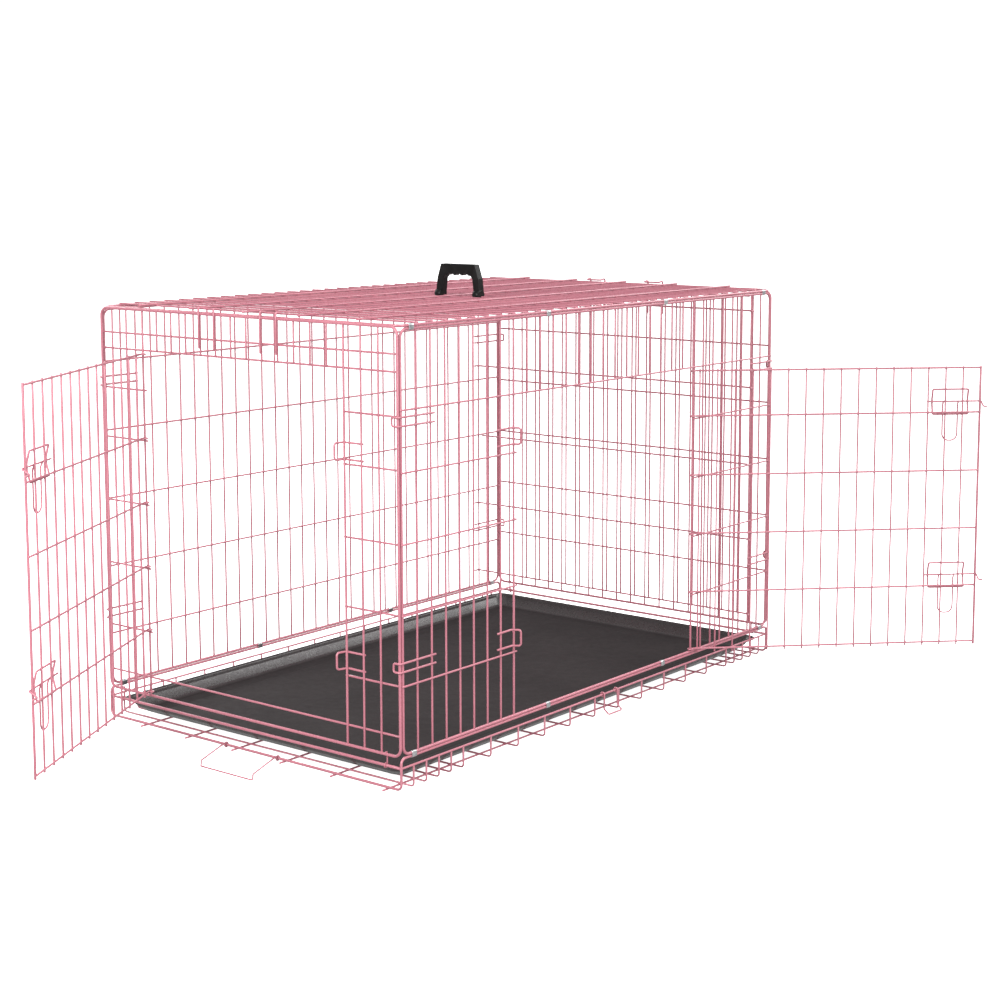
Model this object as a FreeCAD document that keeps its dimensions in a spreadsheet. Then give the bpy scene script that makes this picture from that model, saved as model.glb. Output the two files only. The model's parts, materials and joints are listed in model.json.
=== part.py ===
import FreeCAD, Part
import math
import os

os.makedirs("parts", exist_ok=True)

V = FreeCAD.Vector
doc = FreeCAD.newDocument("WireDogCrate")
sheet = doc.addObject("Spreadsheet::Sheet", "Sizes")

# Every driving dimension, in millimetres or degrees.  +X is the side-door side, -Y the end-door end.
SIZES = [
    ("frame_wire", 2.25, "radius of the panel frames and the floor frame"),
    ("hinge_wire", 2.0, "radius of the uprights at the door openings"),
    ("level_wire", 1.6, "radius of the horizontal wires"),
    ("upright_wire", 1.5, "radius of the vertical wires"),
    ("floor_wire", 1.75, "radius of the floor wires"),
    ("rim_wire", 1.9, "radius of the floor's side rim wires"),
    ("edge_wire", 1.9, "radius of a door's free edge"),
    ("bolt_wire", 1.75, "radius of the latch bolts"),
    ("small_wire", 1.25, "radius of the pivot loops"),
    ("weld_sink", 0.3, "how far welded wires sink into each other"),
    ("cut_gap", 0.05, "gap between the straight runs and bends of one long wire"),
    ("side_plane", 375.25, "distance of a side panel from the middle"),
    ("end_plane", 602.5, "distance of an end panel from the middle"),
    ("side_half", 597.0, "half length of a side panel and of the top"),
    ("end_half", 374.0, "half width of an end panel"),
    ("side_low", 66.0, "height of a side panel's bottom wire"),
    ("side_high", 793.5, "height of a side panel's top wire"),
    ("end_low", 63.0, "height of an end panel's bottom wire"),
    ("end_high", 797.5, "height of an end panel's top wire"),
    ("roof_high", 798.75, "height of the top panel's frame"),
    ("corner_bend", 15.0, "bend radius of the panel corners"),
    ("rail_high", 60.5, "height of the floor's side rails"),
    ("lip_high", 43.5, "height of the lip bars and rim wires"),
    ("floor_bend", 10.0, "bend radius of the floor frame"),
    ("upturn_bend", 6.0, "bend radius of a floor wire's upturned end"),
    ("end_wire_high", 5.5, "height of the floor frame's wire across each end"),
    ("long_high", 1.75, "height of the floor's long wires, which stand on the ground"),
    ("cross_high", 4.95, "height of the floor's cross wires"),
    ("cross_reach", 368.5, "where a floor cross wire ends and its upturn starts"),
    ("cross_close", 33.3, "pitch of the five floor wires nearest each end"),
    ("cross_wide", 80.0, "pitch of the floor wires in the middle"),
    ("long_first", -278.0, "place of the leftmost long floor wire"),
    ("long_pitch", 124.0, "pitch of the long floor wires"),
    ("long_half", 614.0, "half length of the long floor wires"),
    ("side_pitch", 38.0, "upright pitch in the side panel's front column"),
    ("side_edge", -293.0, "side opening's free edge"),
    ("side_hinge", 297.0, "side door's hinge wire"),
    ("end_first", 370.5, "where the spacing of the end panels' uprights starts"),
    ("end_pitch", 39.7, "upright pitch of the end panels"),
    ("end_edge", 251.4, "end opening's free edge"),
    ("end_hinge", -259.0, "end door's hinge wire"),
    ("side_header", 658.0, "height of the wire above the side opening"),
    ("level_one", 186.0, "first level of the door-side columns"),
    ("level_gap", 122.0, "spacing of the levels"),
    ("end_extra", 647.0, "extra level beside the end opening"),
    ("end_header", 722.0, "height of the wire above the end opening"),
    ("end_header_two", 752.0, "second wire above the end opening"),
    ("end_sill", 98.0, "wire below the end opening"),
    ("roof_first", -552.0, "first cross wire of the top"),
    ("roof_pitch", 37.6, "pitch of the top's cross wires"),
    ("roof_long_pitch", 138.0, "pitch of the top's long wires"),
    ("hook_high", 810.0, "height of the hooks over the top's end wires"),
    ("roof_overhang", 6.0, "how far the top's cross wires pass the left edge"),
    ("door_lift", 5.0, "how far door levels stand above panel levels"),
    ("eye_mean", 4.2, "mean radius of a door wire's hinge eye"),
    ("door_first", 16.0, "first door upright from the hinge axis"),
    ("side_door_wide", 608.0, "side door from hinge axis to free edge"),
    ("side_door_top", 650.0, "height of the side door's top wire"),
    ("end_door_wide", 514.0, "end door from hinge axis to free edge"),
    ("end_door_top", 715.0, "height of the end door's top wire"),
    ("door_bottom", 71.0, "height of both doors' bottom wire"),
    ("door_tail", 8.0, "how far door uprights pass the bottom wire"),
    ("side_swing", 134.3, "side door's opening angle as stored"),
    ("end_swing", 61.6, "end door's opening angle as stored"),
    ("bolt_rise", 22.0, "bolt above its door level"),
    ("bolt_off", 11.0, "bolt's distance from the hinge plane"),
    ("bracket_drop", 4.5, "bracket's lower bar below its door level"),
    ("bracket_tall", 52.0, "bracket's height"),
    ("bracket_near", 24.0, "bracket's near side from the free edge"),
    ("bracket_far", 100.0, "bracket's far side from the free edge"),
    ("loop_near", 45.0, "pull loop's near leg from the free edge"),
    ("loop_far", 77.0, "pull loop's far leg from the free edge"),
    ("loop_long", 82.0, "pull loop's length below the bolt"),
    ("keeper_low", 12.5, "keeper's lower leg above its panel level"),
    ("keeper_extra", 3.5, "the side's upper keeper stands this much higher"),
    ("keeper_tall", 29.5, "keeper's height"),
    ("keeper_out", 16.5, "how far a keeper stands out of its panel"),
    ("end_level_extra", 4.5, "the end panel's fourth level by the free edge stands this much higher"),
    ("left_clip_one", 205.0, "the left side's inner clips from the middle"),
    ("pan_foot", 8.1, "underside of the ribs the pan stands on"),
    ("pan_low", 11.4, "underside of the pan's floor"),
    ("rib_place", 210.0, "distance of the pan's ribs from the middle"),
    ("rib_wide", 7.0, "width of a rib"),
    ("pan_tall", 26.6, "height of the pan"),
    ("pan_half_wide", 366.0, "half width of the pan over its rim"),
    ("pan_front", -592.0, "pan's front rim"),
    ("pan_back", 590.0, "pan's back rim"),
    ("pan_skin", 2.6, "pan's wall"),
    ("pan_slope", 24.0, "how far the pan's walls lean in"),
    ("pan_rim", 8.0, "width of the pan's rim"),
    ("pan_corner", 26.0, "pan's corner radius"),
    ("clip_long", 12.0, "length of a hinge clip"),
    ("clip_skin", 0.9, "sheet thickness of a hinge clip"),
    ("clip_place_one", 192.0, "inner clips from the middle"),
    ("clip_place_two", 571.0, "outer clips from the middle"),
    ("clip_place_top", 568.0, "rear clip of the top"),
    ("grip_high", 867.0, "top of the carry handle"),
    ("grip_half_top", 44.0, "half width of the handle's top"),
    ("grip_half_foot", 57.0, "half width over the handle's feet"),
    ("grip_thick", 15.0, "thickness of the handle"),
    ("grip_deep", 23.0, "height of the handle's grip bar"),
    ("grip_leg", 15.0, "width of a handle leg"),
    ("grip_hole", 2.0, "radius of the handle's wire groove"),
    ("grip_clip", 8.5, "outer radius of the handle's clip feet"),
    ("grip_off", -3.0, "handle's middle along its wire"),
    ("bolt_tip", 4.3, "bolt's hook past the free edge"),
    ("bolt_drop", 9.5, "how far the hook drops"),
    ("side_tail", 8.0, "side bolt's tail past its hook"),
    ("end_tail", 20.0, "end bolt's tail past its hook"),
    ("divider_place", 528.0, "divider's distance behind the middle"),
    ("divider_half", 367.0, "half width of the divider"),
    ("divider_low", 102.0, "divider's bottom wire"),
    ("divider_high", 790.0, "divider's top wire"),
    ("divider_pitch", 38.6, "divider's upright pitch"),
]
for row, (alias, value, note) in enumerate(SIZES, 1):
    sheet.set("A%d" % row, alias)
    sheet.set("B%d" % row, str(value))
    sheet.setAlias("B%d" % row, alias)
    sheet.set("C%d" % row, note)
doc.recompute()

X_AXIS = V(1, 0, 0)
Y_AXIS = V(0, 1, 0)
Z_AXIS = V(0, 0, 1)
NODES = []
MADE = []


def size(alias):
    return float(sheet.get(alias))


def bind(words):
    """Turn an expression written with bare aliases into one that reads the sheet."""
    text = " " + str(words) + " "
    for char in "+-*/()":
        text = text.replace(char, " " + char + " ")
    known = set(entry[0] for entry in SIZES)
    return " ".join("Sizes." + word if word in known else word for word in text.split())


def rod(axis, radius, start, length):
    """A straight wire: a cylinder whose radius, length and start point follow the sheet."""
    wire = doc.addObject("Part::Cylinder", "Rod")
    turn = FreeCAD.Rotation(Z_AXIS, axis)
    wire.Placement = FreeCAD.Placement(V(0, 0, 0), turn)
    wire.setExpression("Radius", bind(radius))
    wire.setExpression("Height", bind(length))
    for letter, words in zip("xyz", start):
        wire.setExpression("Placement.Base." + letter, bind(words))
    MADE.append(wire)
    return wire


def block(low, extent):
    box = doc.addObject("Part::Box", "Block")
    for name, words in zip(("Length", "Width", "Height"), extent):
        box.setExpression(name, bind(words))
    for letter, words in zip("xyz", low):
        box.setExpression("Placement.Base." + letter, bind(words))
    MADE.append(box)
    return box


def node(label, members, placement=None):
    """One named node: a compound of its separate solids."""
    group = doc.addObject("Part::Compound", label)
    group.Label = label
    group.Links = members
    if placement is not None:
        group.Placement = placement
    NODES.append(group)
    return group


def runs(points, bend, closed=False):
    """Cut a path into straight runs and round bends of the given radius."""
    count = len(points)
    bent = range(count) if closed else range(1, count - 1)
    turns = {}
    for i in bent:
        here = points[i]
        before = (points[i - 1] - here).normalize()
        after = (points[(i + 1) % count] - here).normalize()
        angle = before.getAngle(after)
        trim = bend / math.tan(angle / 2)
        middle = (before + after).normalize() * (bend / math.sin(angle / 2))
        turns[i] = (here + before * trim, here + middle, here + after * trim, math.pi - angle)
    pieces = []
    last = count if closed else count - 1
    for i in range(last):
        j = (i + 1) % count
        first = turns[i][2] if i in turns else points[i]
        second = turns[j][0] if j in turns else points[j]
        if (second - first).Length > 0.2:
            pieces.append(("line", first, second, i in turns, j in turns))
        if j in turns:
            pieces.append(("bend",) + turns[j])
    return pieces


def bend_solid(radius, start, centre, end, sweep):
    spoke = start - centre
    spin = spoke.cross(end - centre).normalize()
    heading = spin.cross(spoke).normalize()
    disc = Part.Face(Part.Wire(Part.Circle(start, heading, radius).toShape()))
    return disc.revolve(centre, spin, math.degrees(sweep))


def wire_solids(points, bend, radius, closed=False):
    """The runs and bends of one long wire as touching-close separate solids."""
    gap = size("cut_gap")
    solids = []
    for piece in runs(points, bend, closed):
        if piece[0] == "line":
            way = (piece[2] - piece[1]).normalize()
            first = piece[1] + way * (gap if piece[3] else 0)
            second = piece[2] - way * (gap if piece[4] else 0)
            solids.append(Part.makeCylinder(radius, (second - first).Length, first, way))
        else:
            solids.append(bend_solid(radius, *piece[1:]))
    return solids


def wire_solid(points, bend, radius):
    """One short bent wire as a single solid."""
    parts = []
    for piece in runs(points, bend):
        if piece[0] == "line":
            way = piece[2] - piece[1]
            parts.append(Part.makeCylinder(radius, way.Length, piece[1], way))
        else:
            parts.append(bend_solid(radius, *piece[1:]))
    whole = parts[0]
    if len(parts) > 1:
        whole = parts[0].multiFuse(parts[1:])
    return whole.Solids[0]


def shaped(name, solids):
    """A feature for bent wires, which no primitive covers."""
    feature = doc.addObject("Part::Feature", name)
    feature.Shape = Part.makeCompound(solids) if len(solids) > 1 else solids[0]
    MADE.append(feature)
    return feature


FRAME = size("frame_wire")
LEVEL = size("level_wire")
SIDE = size("side_plane")
END = size("end_plane")
SINK = size("weld_sink")
LEVELS = ["level_one + %d * level_gap" % i for i in range(4)]
INNER_SIDE = "(side_plane - upright_wire - level_wire + weld_sink)"
OUTER_SIDE = "(side_plane + upright_wire + level_wire - weld_sink)"
INNER_END = "(end_plane - upright_wire - level_wire + weld_sink)"
outer_side = SIDE + size("upright_wire") + LEVEL - SINK
inner_end = END - size("upright_wire") - LEVEL + SINK

# ---------------------------------------------------------------- floor
low, rail = size("end_wire_high"), size("rail_high")
ring = [V(-SIDE, -END, low), V(SIDE, -END, low), V(SIDE, -END, rail), V(SIDE, END, rail),
        V(SIDE, END, low), V(-SIDE, END, low), V(-SIDE, END, rail), V(-SIDE, -END, rail)]
node("floor_frame", [shaped("FloorWire", wire_solids(ring, size("floor_bend"), FRAME, True))])
node("lip_bars", [
    rod(X_AXIS, "frame_wire", ("1.25 - side_plane", "%d * end_plane" % s, "lip_high"),
        "2 * side_plane - 2.5") for s in (-1, 1)])
node("floor_rim_wires", [
    rod(Y_AXIS, "rim_wire", ("%d * side_plane" % s, "1.3 - end_plane", "lip_high"),
        "2 * end_plane - 2.6") for s in (-1, 1)])

close, wide = size("cross_close"), size("cross_wide")
outer_rows = [END + 1.5 - close * i for i in range(1, 6)]
inner_rows = [wide * (i + 0.5) for i in range(5)]
rows = sorted([s * y for s in (-1, 1) for y in outer_rows + inner_rows])
node("floor_cross_wires", [
    rod(X_AXIS, "floor_wire", ("0 - cross_reach", "%.2f" % y, "cross_high"), "2 * cross_reach")
    for y in rows])
upturns = []
for y in rows:
    for s in (-1, 1):
        foot = V(s * (size("cross_reach") + size("cut_gap")), y, size("cross_high"))
        heel = V(s * SIDE, y, size("cross_high"))
        tip = V(s * SIDE, y, size("lip_high") - size("rim_wire") + 0.5)
        upturns.append(wire_solid([foot, heel, tip], size("upturn_bend"), size("floor_wire")))
node("floor_wire_upturns", [shaped("Upturns", upturns)])
node("floor_long_wires", [
    rod(Y_AXIS, "floor_wire",
        ("long_first + %d * long_pitch" % i, "0 - long_half", "long_high"),
        "2 * long_half") for i in range(6)])


# ---------------------------------------------------------------- panels
def panel_ring(half, bottom, top, place):
    corners = [(-half, bottom), (half, bottom), (half, top), (-half, top)]
    return [place(a, z) for a, z in corners]


def side_frame(label, s):
    path = panel_ring(size("side_half"), size("side_low"), size("side_high"),
                      lambda a, z: V(s * SIDE, a, z))
    node(label, [shaped("Ring", wire_solids(path, size("corner_bend"), FRAME, True))])


def end_frame(label, s):
    path = panel_ring(size("end_half"), size("end_low"), size("end_high"),
                      lambda a, z: V(a, s * END, z))
    node(label, [shaped("Ring", wire_solids(path, size("corner_bend"), FRAME, True))])


def side_upright(s, y, bottom="side_low", radius="upright_wire"):
    return rod(Z_AXIS, radius, ("%d * side_plane" % s, y, bottom), "side_high - %s" % bottom)


def end_upright(s, x, bottom="end_low", radius="upright_wire"):
    return rod(Z_AXIS, radius, (x, "%d * end_plane" % s, bottom), "end_high - %s" % bottom)


def side_level(place, z, start, end):
    return rod(Y_AXIS, "level_wire", (place, start, z), "%s - (%s)" % (end, start))


def end_level(s, z, start, end):
    return rod(X_AXIS, "level_wire", (start, "%d * %s" % (s, INNER_END), z), "%s - (%s)" % (end, start))


side_frame("right_side_frame", 1)
right = [side_upright(1, "%d * side_pitch - side_half" % i) for i in range(1, 8)]
right += [side_upright(1, "side_half - %d * (side_half - side_hinge) / 8" % i) for i in range(1, 8)]
right += [side_upright(1, name, "side_low", "hinge_wire") for name in ("side_edge", "side_hinge")]
node("right_side_uprights", right)
node("right_side_header_uprights", [
    side_upright(1, "side_edge + %d * (side_hinge - side_edge) / 15" % i, "side_header")
    for i in range(1, 15)])
# this panel's levels are welded on outside, the other panels' inside
levels = [side_level(OUTER_SIDE, "side_header", "0 - side_half - 4", "side_half + 4")]
levels += [side_level(OUTER_SIDE, z, "0 - side_half - 4", "side_edge + 5") for z in LEVELS]
levels += [side_level(OUTER_SIDE, z, "side_hinge - 5", "side_half + 4") for z in LEVELS]
node("right_side_levels", levels)

side_frame("left_side_frame", -1)
node("left_side_uprights", [
    side_upright(-1, "%d * 2 * side_half / 32 - side_half + 2" % i) for i in range(1, 32)])
node("left_side_levels", [
    side_level("0 - " + INNER_SIDE, "167 + %d * 132" % i, "0 - side_half - 1", "side_half + 1")
    for i in range(5)])

end_frame("front_end_frame", -1)
front = [end_upright(-1, "end_first - %d * end_pitch" % i) for i in (1, 2, 17, 18)]
front += [end_upright(-1, name, "end_low", "hinge_wire") for name in ("end_edge", "end_hinge")]
node("front_end_uprights", front)
node("front_end_header_uprights", [
    end_upright(-1, "end_edge - %d * (end_edge - end_hinge) / 13" % i, "end_header")
    for i in range(1, 13)])
levels = [end_level(-1, z, "1.1 - end_half", "end_half - 1.1")
          for z in ("end_sill", "end_header", "end_header_two")]
for z in LEVELS + ["end_extra"]:
    lift = " + end_level_extra" if z == LEVELS[3] else ""
    levels.append(end_level(-1, z + lift, "end_edge - 5", "end_half - 1.1"))
    levels.append(end_level(-1, z, "1.1 - end_half", "end_hinge + 5"))
node("front_end_levels", levels)

end_frame("rear_end_frame", 1)
node("rear_end_uprights", [end_upright(1, "end_first - %d * end_pitch" % i) for i in range(1, 19)])
node("rear_end_levels", [
    end_level(1, "186 + %d * 123.5" % i, "1.1 - end_half", "end_half - 1.1") for i in range(5)])

# ---------------------------------------------------------------- top panel
half, roof = size("side_half"), size("roof_high")
path = [V(-SIDE, -half, roof), V(SIDE, -half, roof), V(SIDE, half, roof), V(-SIDE, half, roof)]
node("top_frame", [shaped("Ring", wire_solids(path, size("corner_bend"), FRAME, True))])
node("top_cross_wires", [
    rod(X_AXIS, "upright_wire",
        ("0 - side_plane - roof_overhang", "roof_first + %d * roof_pitch" % i,
         "roof_high + frame_wire + upright_wire - weld_sink"),
        "2 * side_plane + roof_overhang + 1") for i in range(31)])
node("top_long_wires", [
    rod(Y_AXIS, "level_wire",
        ("%d * roof_long_pitch" % i, "1.5 - side_half", "roof_high + frame_wire + 2 * upright_wire + level_wire - 2 * weld_sink"),
        "2 * side_half - 3") for i in range(-2, 3)])


def roof_hook(x_one, x_two, s):
    """A staple welded to the end panel and bent over the top's end wire."""
    out = END + FRAME + LEVEL - SINK
    over = size("hook_high")
    back, drop = half - 7.0, over - 3.0
    legs = [(x_one, out, 735.0), (x_one, out, over), (x_one, back, drop),
            (x_two, back, drop), (x_two, out, over), (x_two, out, 735.0)]
    return wire_solid([V(x, s * y, z) for x, y, z in legs], 4.0, LEVEL)


front_x = [size("end_edge") - i * (size("end_edge") - size("end_hinge")) / 13 for i in (4, 5, 8, 9)]
rear_x = [size("end_first") - i * size("end_pitch") for i in (7, 8, 11, 12)]
for label, s, xs in (("front_top_hooks", -1, front_x), ("rear_top_hooks", 1, rear_x)):
    node(label, [shaped("Hooks", [roof_hook(xs[0], xs[1], s), roof_hook(xs[2], xs[3], s)])])


# ---------------------------------------------------------------- hooks that lock the end panels
def lock_hook(sx, sy, z):
    face = SIDE + FRAME + LEVEL - 0.5
    reach = END + FRAME + LEVEL + 0.65
    curl, tail = 364.0, 514.0
    spots = [(face, tail, -7.6), (face, reach, -7.6), (curl, reach, -7.6),
             (curl, reach, 7.6), (face, reach, 7.6), (face, tail, 7.6)]
    return wire_solid([V(sx * x, sy * y, z + dz) for x, y, dz in spots], 4.0, LEVEL)


for label, sx, heights in (("right_lock_hooks", 1, (219.4, 639.0)), ("left_lock_hooks", -1, (206.5, 657.5))):
    node(label, [shaped("Hooks", [lock_hook(sx, sy, z) for sy in (-1, 1) for z in heights])])


# ---------------------------------------------------------------- clips and pivot loops
def clip(x, y, z_low, z_high):
    """A sheet band folded round two wires, one above the other."""
    inside = FRAME + 0.08
    outside = inside + size("clip_skin")
    wide, start = size("clip_long"), y - size("clip_long") / 2
    solids = []
    for r in (outside, inside):
        tube = Part.makeBox(2 * r, wide, z_high - z_low, V(x - r, start, z_low))
        for z in (z_low, z_high):
            tube = tube.fuse(Part.makeCylinder(r, wide, V(x, start, z), Y_AXIS))
        solids.append(tube)
    return solids[0].cut(solids[1]).removeSplitter().Solids[0]


for label, sx, first in (("left_bottom_clips", -1, "left_clip_one"), ("right_bottom_clips", 1, "clip_place_one")):
    places = [s * size(name) for s in (-1, 1) for name in (first, "clip_place_two")]
    node(label, [shaped("Clips", [clip(sx * SIDE, y, rail, size("side_low")) for y in places])])
top_places = sorted(places)[:3] + [size("clip_place_top")]
node("top_clips", [shaped("Clips", [clip(SIDE, y, size("side_high"), roof) for y in top_places])])


def pivot_loop(x, s):
    """A loop round the lip bar whose end is bent over the end panel's bottom wire."""
    r, eye = size("small_wire"), 3.75
    centre = V(x, s * END, size("lip_high"))
    inward = V(0, -s, 0)
    start = centre + inward * eye
    disc = Part.Face(Part.Wire(Part.Circle(start, Z_AXIS, r).toShape()))
    loop = disc.revolve(centre, V(s, 0, 0), 300.0)
    top = size("end_low") + FRAME + r - 0.15
    stem = wire_solid([start, V(x, start.y, top), V(x, s * (END + 1.0), top)], 2.0, r)
    return loop.fuse(stem).removeSplitter().Solids[0]


node("end_panel_pivots", [shaped("Pivots", [pivot_loop(x, s) for x in (-340.0, 340.0) for s in (-1, 1)])])


# ---------------------------------------------------------------- keepers
def staple(spots, z):
    """A keeper: two legs welded to the panel, bent out past the opening's edge and joined."""
    high = z + size("keeper_tall")
    path = [V(x, y, z) for x, y in spots] + [V(x, y, high) for x, y in reversed(spots)]
    return wire_solids(path, 5.0, LEVEL)


out = size("keeper_out")
side_keepers, end_keepers = [], []
for step, extra in ((0, 0.0), (3, size("keeper_extra"))):
    z = size("level_one") + step * size("level_gap") + size("keeper_low")
    side_keepers += staple([(outer_side, -344.0), (outer_side, -302.0), (SIDE + out, -293.0)], z + extra)
    end_keepers += staple([(293.0, -inner_end), (249.5, -inner_end), (243.5, -END - out)], z)
node("side_door_keepers", [shaped("Keepers", side_keepers)])
node("end_door_keepers", [shaped("Keepers", end_keepers)])


# ---------------------------------------------------------------- doors
# A door is drawn with its hinge axis at the origin, lying along +X, outside towards -Y,
# and is then turned and moved as a whole.
def door_place(x, y, closed_deg, swing_deg):
    return FreeCAD.Placement(V(x, y, 0), FreeCAD.Rotation(Z_AXIS, closed_deg + swing_deg))


def door_level(wide, z):
    r, eye = LEVEL, size("eye_mean")
    start = V(0, -eye, z)
    disc = Part.Face(Part.Wire(Part.Circle(start, X_AXIS, r).toShape()))
    loop = disc.revolve(V(0, 0, z), Z_AXIS, -290.0)
    straight = Part.makeCylinder(r, wide, start, X_AXIS)
    return loop.fuse(straight).removeSplitter().Solids[0]


def bracket(edge, level):
    r = LEVEL
    low_bar = level - size("bracket_drop")
    high_bar = low_bar + size("bracket_tall")
    flat = size("eye_mean") + LEVEL + 2 * size("upright_wire") + r - 2 * SINK
    bow = size("bolt_off") + size("bolt_wire") + 0.4 + r
    near, far = edge - size("bracket_near"), edge - size("bracket_far")
    mid = level + size("bolt_rise")
    spots = [(near, flat, high_bar), (near, bow, mid + 5), (near, bow, mid - 5), (near, flat, low_bar),
             (far, flat, low_bar), (far, bow, mid - 5), (far, bow, mid + 5), (far, flat, high_bar)]
    return wire_solids([V(x, -y, z) for x, y, z in spots], 3.0, r, True)


def bolt(edge, level, tail):
    """A rod with a hooked tip and a pull loop hanging from it, one solid."""
    r, off, z = size("bolt_wire"), size("bolt_off"), level + size("bolt_rise")
    catch = -(size("upright_wire") + 0.5 + r)
    tip, drop = edge + size("bolt_tip"), z - size("bolt_drop")
    rod_path = [V(edge - 112.0, -off, z), V(tip, -off, z), V(tip, -catch, drop), V(tip + tail, -catch, drop)]
    shank = wire_solid(rod_path, 3.0, r)
    hang = off + 3.6
    down = z - size("loop_long")
    near, far = edge - size("loop_near"), edge - size("loop_far")
    waist = z - 20.0
    loop_path = [V(near, -hang, waist), V(near, -hang, down), V(far, -hang, down), V(far, -hang, waist)]
    loop = wire_solid(loop_path, 14.0, LEVEL)
    for x in (near, far):
        arm = wire_solid([V(x, -off, z), V(x, -hang, z - 9.0), V(x, -hang, waist)], 6.0, LEVEL)
        loop = loop.fuse(arm)
    return shank.fuse(loop).removeSplitter().Solids[0]


DOORS = [
    ("side_door", "side_door_wide", "side_door_top", SIDE, size("side_hinge"), -90.0, size("side_swing"), 15,
     size("side_tail")),
    ("end_door", "end_door_wide", "end_door_top", size("end_hinge"), -END, 0.0, -size("end_swing"), 12,
     size("end_tail")),
]
for name, wide_name, top_name, x, y, closed_deg, swing, inner, tail in DOORS:
    # the outside of the side door lies the other way round its hinge
    flip = 1 if name == "end_door" else -1
    place = door_place(x, y, closed_deg, swing)
    wide, top = size(wide_name), size(top_name)
    lift = size("door_lift")
    heights = [size("door_bottom")] + [size("level_one") + i * size("level_gap") + lift for i in range(4)]
    heights.append(top)
    if flip > 0:
        level_solids = [door_level(wide, z) for z in heights]
    else:
        level_solids = [door_level(wide, z).mirror(V(0, 0, 0), Y_AXIS) for z in heights]
    node(name + "_levels", [shaped("DoorLevels", level_solids)], place)

    drop = "%d * (eye_mean + level_wire + upright_wire - weld_sink)" % (-flip)
    foot = "door_bottom - door_tail"
    height = "%s - (%s) + 3" % (top_name, foot)
    pitch = "((%s - door_first) / %d)" % (wide_name, inner + 1)
    node(name + "_uprights", [
        rod(Z_AXIS, "upright_wire", ("door_first + %d * %s" % (i, pitch), drop, foot), height)
        for i in range(inner + 1)], place)
    edge_off = "%d * (eye_mean + level_wire + edge_wire - weld_sink - 0.8)" % (-flip)
    node(name + "_edge_wire", [
        rod(Z_AXIS, "edge_wire", (wide_name, edge_off, foot), height)], place)

    brackets = []
    for tag, level in (("lower", heights[1]), ("upper", heights[4])):
        for solid in bracket(wide, level):
            brackets.append(solid if flip > 0 else solid.mirror(V(0, 0, 0), Y_AXIS))
        slider = bolt(wide, level, tail)
        if flip < 0:
            slider = slider.mirror(V(0, 0, 0), Y_AXIS)
        node("%s_%s_bolt" % (name, tag), [shaped("Bolt", [slider])], place)
    node(name + "_latch_brackets", [shaped("Brackets", brackets)], place)

# ---------------------------------------------------------------- pan
def rounded(half_x, y_one, y_two, z, radius):
    x, y = half_x, (y_one, y_two)
    corners = [V(-x, y[0], z), V(x, y[0], z), V(x, y[1], z), V(-x, y[1], z)]
    edges = []
    for piece in runs(corners, radius, True):
        if piece[0] == "line":
            edges.append(Part.makeLine(piece[1], piece[2]))
        else:
            start, centre, end = piece[1], piece[2], piece[3]
            out = ((start - centre) + (end - centre)).normalize() * radius
            edges.append(Part.Arc(start, centre + out, end).toShape())
    return Part.Wire(Part.__sortEdges__(edges))


def pan_solid():
    low_z, high_z = size("pan_low"), size("pan_low") + size("pan_tall")
    rim, slope, skin = size("pan_rim"), size("pan_slope"), size("pan_skin")
    wide, front, back, r = size("pan_half_wide"), size("pan_front"), size("pan_back"), size("pan_corner")

    def outline(inset, z):
        return rounded(wide - inset, front + inset, back - inset, z, r)

    outer = Part.makeLoft([outline(rim + slope, low_z), outline(rim, high_z)], True, True)
    flange = Part.Face(outline(0, high_z - skin)).extrude(V(0, 0, skin))
    inner = Part.makeLoft([outline(rim + slope + skin, low_z + skin), outline(rim + skin, high_z + 0.01)],
                          True, True)
    ribs = []
    half_rib, foot = size("rib_wide") / 2, size("pan_foot")
    length = back - front - 2 * (rim + slope + 20)
    for x in (-size("rib_place"), size("rib_place")):
        ribs.append(Part.makeBox(2 * half_rib, length, low_z - foot + 1.0,
                                 V(x - half_rib, front + rim + slope + 20, foot)))
    return outer.fuse([flange] + ribs).cut(inner).removeSplitter().Solids[0]


node("floor_pan", [shaped("Pan", [pan_solid()])])


# ---------------------------------------------------------------- pan stop and folding latch
def hinge_bail(first_eye, last_eye, path, spin, eye, radius, bend):
    """A bent bail whose two ends are open eyes round a straight wire."""
    body = wire_solid(path, bend, radius)
    for centre, start in (first_eye, last_eye):
        spoke = start - centre
        heading = spin.cross(spoke).normalize()
        disc = Part.Face(Part.Wire(Part.Circle(start, heading, radius).toShape()))
        body = body.fuse(disc.revolve(centre, spin, 285.0))
    return body.removeSplitter().Solids[0]


stop_wire = 1.4
stop_eye = FRAME + 0.35 + stop_wire
axis_y, axis_z = -END, size("end_wire_high")
near_y, far_y, lie = -686.0, -710.0, stop_wire + 0.1
top_z = axis_z + stop_eye
stop_path = [V(-55.0, axis_y, top_z), V(-50.0, axis_y - 18.0, top_z - 1.0), V(-31.0, near_y, lie),
             V(-6.0, far_y, lie), V(125.0, far_y, lie), V(101.0, near_y, lie),
             V(83.0, axis_y - 18.0, top_z - 1.0), V(78.0, axis_y, top_z)]
stop_eyes = [(V(x, axis_y, axis_z), V(x, axis_y, top_z)) for x in (-55.0, 78.0)]
node("pan_stop", [shaped("PanStop", [
    hinge_bail(stop_eyes[0], stop_eyes[1], stop_path, V(-1, 0, 0), stop_eye, stop_wire, 3.0)])])

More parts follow.
